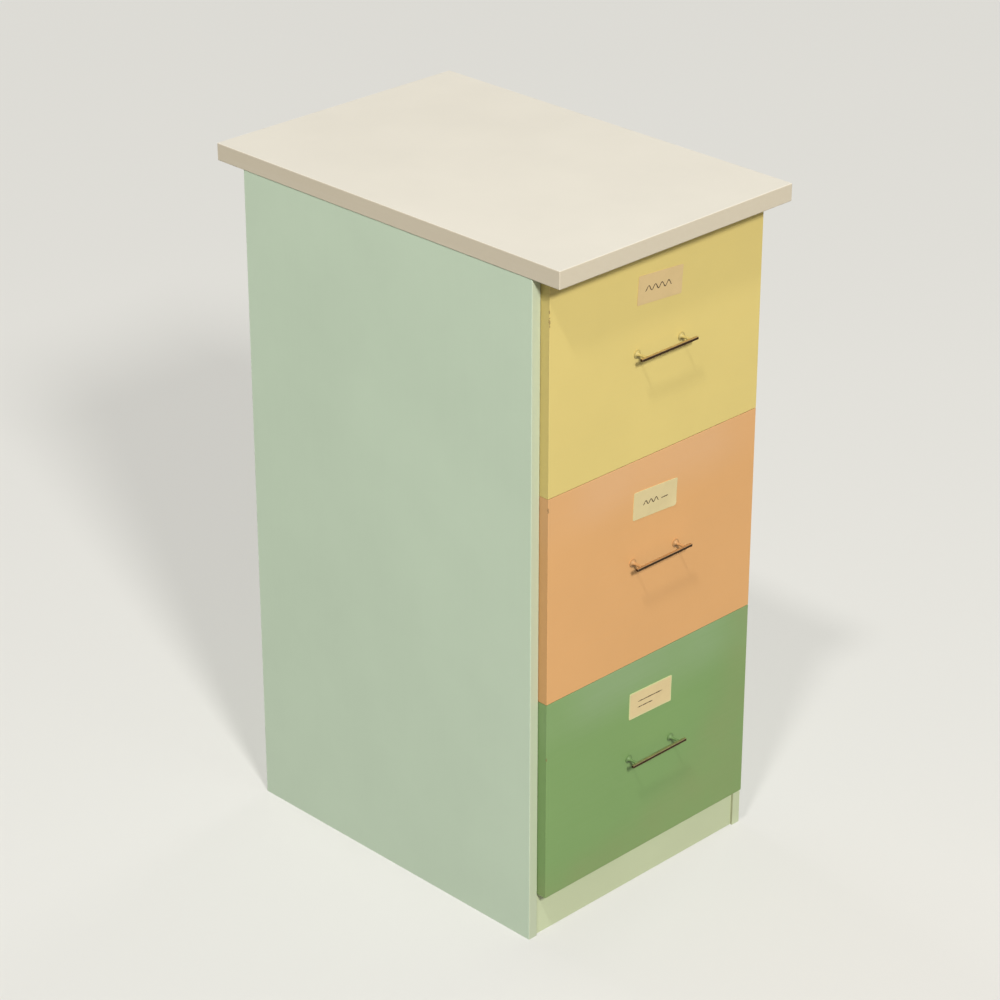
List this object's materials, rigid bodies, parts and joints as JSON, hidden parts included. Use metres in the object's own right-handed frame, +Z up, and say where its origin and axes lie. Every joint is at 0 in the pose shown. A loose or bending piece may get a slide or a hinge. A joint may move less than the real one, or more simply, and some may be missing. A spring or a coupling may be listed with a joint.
{
  "type": "filing cabinet",
  "caption": "Floor-standing painted wooden filing cabinet with an overhanging slab top and stacked file drawers on ball runners.",
  "frame": {"origin": "on the floor, under the centre of the slab top", "axes": "+X to the cabinet's right as seen from the front, +Y to the back, +Z up; drawers open towards -Y"},
  "size_m": [0.435, 0.647, 1],
  "materials": {
    "cream_paint": "painted board, satin cream",
    "mint_paint": "painted board, satin mint green",
    "mint_ply": "painted plywood, thin satin mint green",
    "yellow_paint": "painted board, satin straw yellow",
    "orange_paint": "painted board, satin soft orange",
    "green_paint": "painted board, satin leaf green",
    "yellow_enamel": "painted over in the drawer's yellow",
    "orange_enamel": "painted over in the drawer's orange",
    "green_enamel": "painted over in the drawer's green",
    "bare_birch": "bare birch plywood, clear lacquer",
    "dowel_beech": "bare beech",
    "zinc_steel": "zinc plated",
    "bright_steel": "bright pressed steel strip and polished balls",
    "dark_bronze": "dark bronze, rubbed",
    "card": "uncoated cream card"
  },
  "bodies": {
    "carcass": {"top_slab": "cream_paint", "side_panel_left": "mint_paint", "side_panel_right": "mint_paint", "back_panel": "mint_ply", "bottom_panel": "mint_paint", "plinth_front": "mint_paint", "plinth_rear": "mint_paint", "top_rail_front": "bare_birch", "top_rail_rear": "bare_birch", "carcass_screws": "zinc_steel", "carcass_dowels": "dowel_beech", "runner_outers": "zinc_steel"},
    "lower_drawer": {"lower_drawer_front": "green_paint", "lower_box_left": "bare_birch", "lower_box_right": "bare_birch", "lower_box_fore": "bare_birch", "lower_box_rear": "bare_birch", "lower_box_bottom": "bare_birch", "lower_box_screws": "zinc_steel", "lower_file_rails": "zinc_steel", "lower_handle_bar": "dark_bronze", "lower_handle_posts": "green_enamel", "lower_handle_screws": "zinc_steel", "lower_label_card": "card", "lower_runner_inners": "zinc_steel"},
    "lower_runners": {"lower_runner_intermediates": "zinc_steel"},
    "lower_outer_cages": {"lower_outer_ball_cages": "bright_steel"},
    "lower_inner_cages": {"lower_inner_ball_cages": "bright_steel"},
    "middle_drawer": {"middle_drawer_front": "orange_paint", "middle_box_left": "bare_birch", "middle_box_right": "bare_birch", "middle_box_fore": "bare_birch", "middle_box_rear": "bare_birch", "middle_box_bottom": "bare_birch", "middle_box_screws": "zinc_steel", "middle_file_rails": "zinc_steel", "middle_handle_bar": "dark_bronze", "middle_handle_posts": "orange_enamel", "middle_handle_screws": "zinc_steel", "middle_label_card": "card", "middle_runner_inners": "zinc_steel"},
    "middle_runners": {"middle_runner_intermediates": "zinc_steel"},
    "middle_outer_cages": {"middle_outer_ball_cages": "bright_steel"},
    "middle_inner_cages": {"middle_inner_ball_cages": "bright_steel"},
    "upper_drawer": {"upper_drawer_front": "yellow_paint", "upper_box_left": "bare_birch", "upper_box_right": "bare_birch", "upper_box_fore": "bare_birch", "upper_box_rear": "bare_birch", "upper_box_bottom": "bare_birch", "upper_box_screws": "zinc_steel", "upper_file_rails": "zinc_steel", "upper_handle_bar": "dark_bronze", "upper_handle_posts": "yellow_enamel", "upper_handle_screws": "zinc_steel", "upper_label_card": "card", "upper_runner_inners": "zinc_steel"},
    "upper_runners": {"upper_runner_intermediates": "zinc_steel"},
    "upper_outer_cages": {"upper_outer_ball_cages": "bright_steel"},
    "upper_inner_cages": {"upper_inner_ball_cages": "bright_steel"}
  },
  "joints": [
    {"name": "lower_drawer_slide", "type": "slide", "parent": "carcass", "child": "lower_drawer", "axis": [0, -1, 0], "range_m": [0, 0.49]},
    {"name": "lower_runner_slide", "type": "slide", "parent": "carcass", "child": "lower_runners", "axis": [0, -1, 0], "range_m": [0, 0.245]},
    {"name": "lower_outer_cage_slide", "type": "slide", "parent": "carcass", "child": "lower_outer_cages", "axis": [0, -1, 0], "range_m": [0, 0.1225]},
    {"name": "lower_inner_cage_slide", "type": "slide", "parent": "carcass", "child": "lower_inner_cages", "axis": [0, -1, 0], "range_m": [0, 0.3675]},
    {"name": "middle_drawer_slide", "type": "slide", "parent": "carcass", "child": "middle_drawer", "axis": [0, -1, 0], "range_m": [0, 0.49]},
    {"name": "middle_runner_slide", "type": "slide", "parent": "carcass", "child": "middle_runners", "axis": [0, -1, 0], "range_m": [0, 0.245]},
    {"name": "middle_outer_cage_slide", "type": "slide", "parent": "carcass", "child": "middle_outer_cages", "axis": [0, -1, 0], "range_m": [0, 0.1225]},
    {"name": "middle_inner_cage_slide", "type": "slide", "parent": "carcass", "child": "middle_inner_cages", "axis": [0, -1, 0], "range_m": [0, 0.3675]},
    {"name": "upper_drawer_slide", "type": "slide", "parent": "carcass", "child": "upper_drawer", "axis": [0, -1, 0], "range_m": [0, 0.49]},
    {"name": "upper_runner_slide", "type": "slide", "parent": "carcass", "child": "upper_runners", "axis": [0, -1, 0], "range_m": [0, 0.245]},
    {"name": "upper_outer_cage_slide", "type": "slide", "parent": "carcass", "child": "upper_outer_cages", "axis": [0, -1, 0], "range_m": [0, 0.1225]},
    {"name": "upper_inner_cage_slide", "type": "slide", "parent": "carcass", "child": "upper_inner_cages", "axis": [0, -1, 0], "range_m": [0, 0.3675]}
  ],
  "couplings": [
    {"joint": "lower_runner_slide", "follows": "lower_drawer_slide", "ratio": 0.5},
    {"joint": "lower_outer_cage_slide", "follows": "lower_drawer_slide", "ratio": 0.25},
    {"joint": "lower_inner_cage_slide", "follows": "lower_drawer_slide", "ratio": 0.75},
    {"joint": "middle_runner_slide", "follows": "middle_drawer_slide", "ratio": 0.5},
    {"joint": "middle_outer_cage_slide", "follows": "middle_drawer_slide", "ratio": 0.25},
    {"joint": "middle_inner_cage_slide", "follows": "middle_drawer_slide", "ratio": 0.75},
    {"joint": "upper_runner_slide", "follows": "upper_drawer_slide", "ratio": 0.5},
    {"joint": "upper_outer_cage_slide", "follows": "upper_drawer_slide", "ratio": 0.25},
    {"joint": "upper_inner_cage_slide", "follows": "upper_drawer_slide", "ratio": 0.75}
  ]
}
